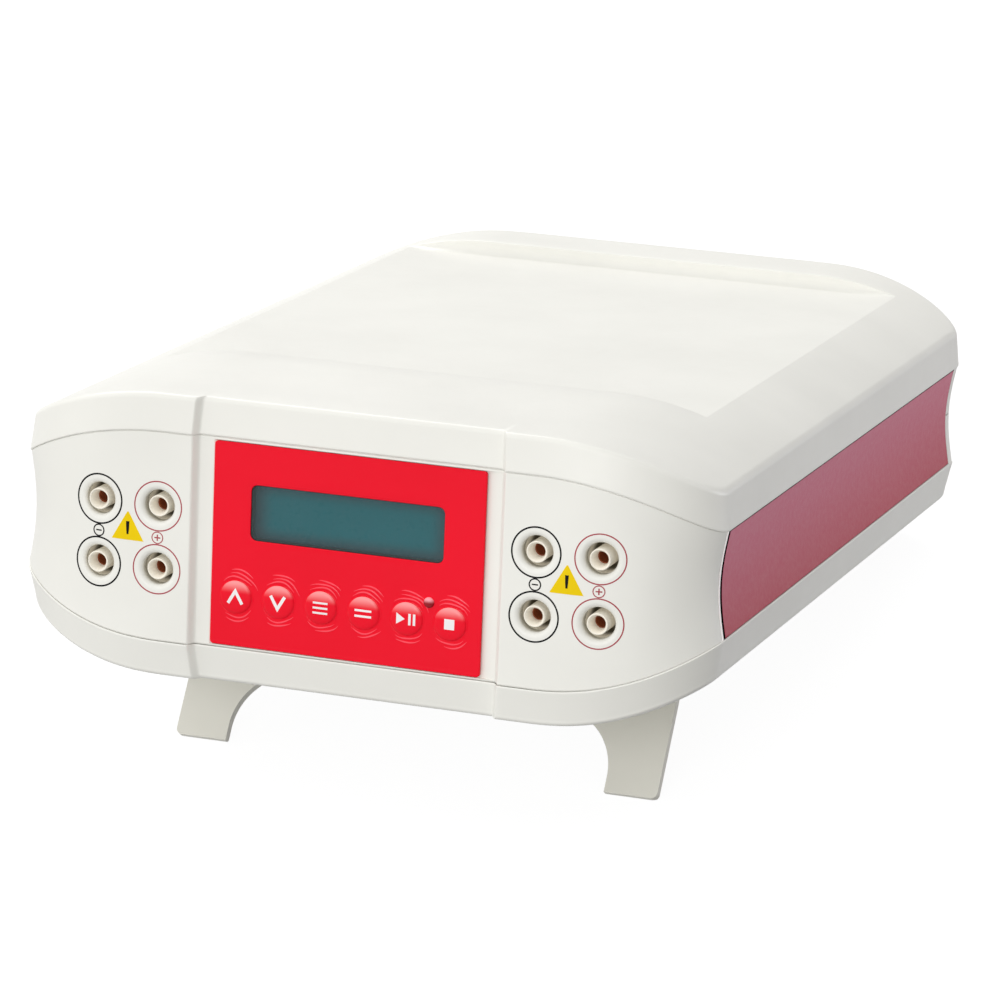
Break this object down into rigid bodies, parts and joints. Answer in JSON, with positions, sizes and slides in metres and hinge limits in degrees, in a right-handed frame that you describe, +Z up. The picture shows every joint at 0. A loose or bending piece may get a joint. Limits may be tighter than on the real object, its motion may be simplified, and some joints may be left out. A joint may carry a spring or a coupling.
{
  "type": "electrophoresis power supply",
  "caption": "Benchtop gel electrophoresis power supply: barrel-fronted case with a red keypad and display, shrouded output sockets on both wings, and flip-out legs under the front.",
  "frame": {"origin": "on the bench, under the centre of the bounding box, with the case standing on its legs", "axes": "+X to the right seen from the front, +Y from the front to the rear, +Z up"},
  "size_m": [0.2178, 0.3176, 0.1314],
  "materials": {
    "aluminium": "satin",
    "black_plastic": "fine grain",
    "black_rubber": "matte",
    "brass": "satin",
    "capacitor_sleeve": "satin sleeve",
    "circuit_board": "satin lacquer",
    "clear_window": "clear, glossy",
    "display_glass": "satin display",
    "fuse_glass": "clear",
    "lamination": "matte laminations",
    "led_red": "glossy, translucent",
    "leg_plastic": "satin",
    "maroon_plastic": "matte, fine grain",
    "off_white_plastic": "satin, light grain",
    "red_film": "glossy film",
    "steel": "satin"
  },
  "bodies": {
    "case": {"bottom_cover": "off_white_plastic", "case_screw_front_left": "steel", "case_screw_front_right": "steel", "case_screw_rear_left": "steel", "case_screw_rear_right": "steel", "contact_left_negative_lower": "brass", "contact_left_negative_upper": "brass", "contact_left_positive_lower": "brass", "contact_left_positive_upper": "brass", "contact_right_negative_lower": "brass", "contact_right_negative_upper": "brass", "contact_right_positive_lower": "brass", "contact_right_positive_upper": "brass", "control_board": "circuit_board", "fan_frame": "black_plastic", "foot_front_left": "black_rubber", "foot_front_right": "black_rubber", "foot_rear_left": "black_rubber", "foot_rear_right": "black_rubber", "front_panel": "off_white_plastic", "heatsink": "aluminium", "inlet_pin_earth": "brass", "inlet_pin_line": "brass", "inlet_pin_neutral": "brass", "keypad_overlay": "red_film", "lcd_module": "display_glass", "lcd_window": "clear_window", "left_side_panel": "maroon_plastic", "leg_pin_left": "steel", "leg_pin_right": "steel", "main_board": "circuit_board", "mains_switch_frame": "black_plastic", "power_inlet": "black_plastic", "rear_panel": "off_white_plastic", "reservoir_capacitor": "capacitor_sleeve", "right_side_panel": "maroon_plastic", "socket_left_negative_lower": "off_white_plastic", "socket_left_negative_upper": "off_white_plastic", "socket_left_positive_lower": "off_white_plastic", "socket_left_positive_upper": "off_white_plastic", "socket_right_negative_lower": "off_white_plastic", "socket_right_negative_upper": "off_white_plastic", "socket_right_positive_lower": "off_white_plastic", "socket_right_positive_upper": "off_white_plastic", "status_led": "led_red", "top_cover": "off_white_plastic", "transformer": "lamination"},
    "tilt_leg_left": {"tilt_leg_left": "leg_plastic"},
    "tilt_leg_right": {"tilt_leg_right": "leg_plastic"},
    "fan_rotor": {"fan_rotor": "black_plastic"},
    "fuse_drawer": {"fuse_drawer": "black_plastic", "fuse": "fuse_glass"},
    "mains_switch_rocker": {"mains_switch_rocker": "black_plastic"},
    "key_constant": {"key_constant": "red_film"},
    "key_down": {"key_down": "red_film"},
    "key_mode": {"key_mode": "red_film"},
    "key_start_pause": {"key_start_pause": "red_film"},
    "key_stop": {"key_stop": "red_film"},
    "key_up": {"key_up": "red_film"}
  },
  "joints": [
    {"name": "key_up_press", "type": "slide", "parent": "case", "child": "key_up", "axis": [0, 0.9886, -0.1507], "range_m": [0, 0.0005], "stiffness_N_per_m": 800},
    {"name": "key_down_press", "type": "slide", "parent": "case", "child": "key_down", "axis": [0, 0.9886, -0.1507], "range_m": [0, 0.0005], "stiffness_N_per_m": 800},
    {"name": "key_mode_press", "type": "slide", "parent": "case", "child": "key_mode", "axis": [0, 0.9886, -0.1507], "range_m": [0, 0.0005], "stiffness_N_per_m": 800},
    {"name": "key_constant_press", "type": "slide", "parent": "case", "child": "key_constant", "axis": [0, 0.9886, -0.1507], "range_m": [0, 0.0005], "stiffness_N_per_m": 800},
    {"name": "key_start_pause_press", "type": "slide", "parent": "case", "child": "key_start_pause", "axis": [0, 0.9886, -0.1507], "range_m": [0, 0.0005], "stiffness_N_per_m": 800},
    {"name": "key_stop_press", "type": "slide", "parent": "case", "child": "key_stop", "axis": [0, 0.9886, -0.1507], "range_m": [0, 0.0005], "stiffness_N_per_m": 800},
    {"name": "tilt_leg_left_fold", "type": "hinge", "parent": "case", "child": "tilt_leg_left", "pos_m": [-0.06405, -0.06885, 0.03787], "axis": [1, 0, 0], "range_deg": [0, 121.4]},
    {"name": "tilt_leg_right_fold", "type": "hinge", "parent": "case", "child": "tilt_leg_right", "pos_m": [0.06405, -0.06885, 0.03787], "axis": [1, 0, 0], "range_deg": [0, 121.4]},
    {"name": "mains_switch_rock", "type": "hinge", "parent": "case", "child": "mains_switch_rocker", "pos_m": [0.0065, 0.1533, 0.04254], "axis": [1, 0, 0], "range_deg": [-22, 0]},
    {"name": "fan_spin", "type": "hinge", "parent": "case", "child": "fan_rotor", "pos_m": [-0.024, 0.14554, 0.04372], "axis": [0, 0.9886, -0.1507], "continuous": true},
    {"name": "fuse_drawer_pull", "type": "slide", "parent": "case", "child": "fuse_drawer", "axis": [0, 0.9886, -0.1507], "range_m": [0, 0.018]}
  ]
}
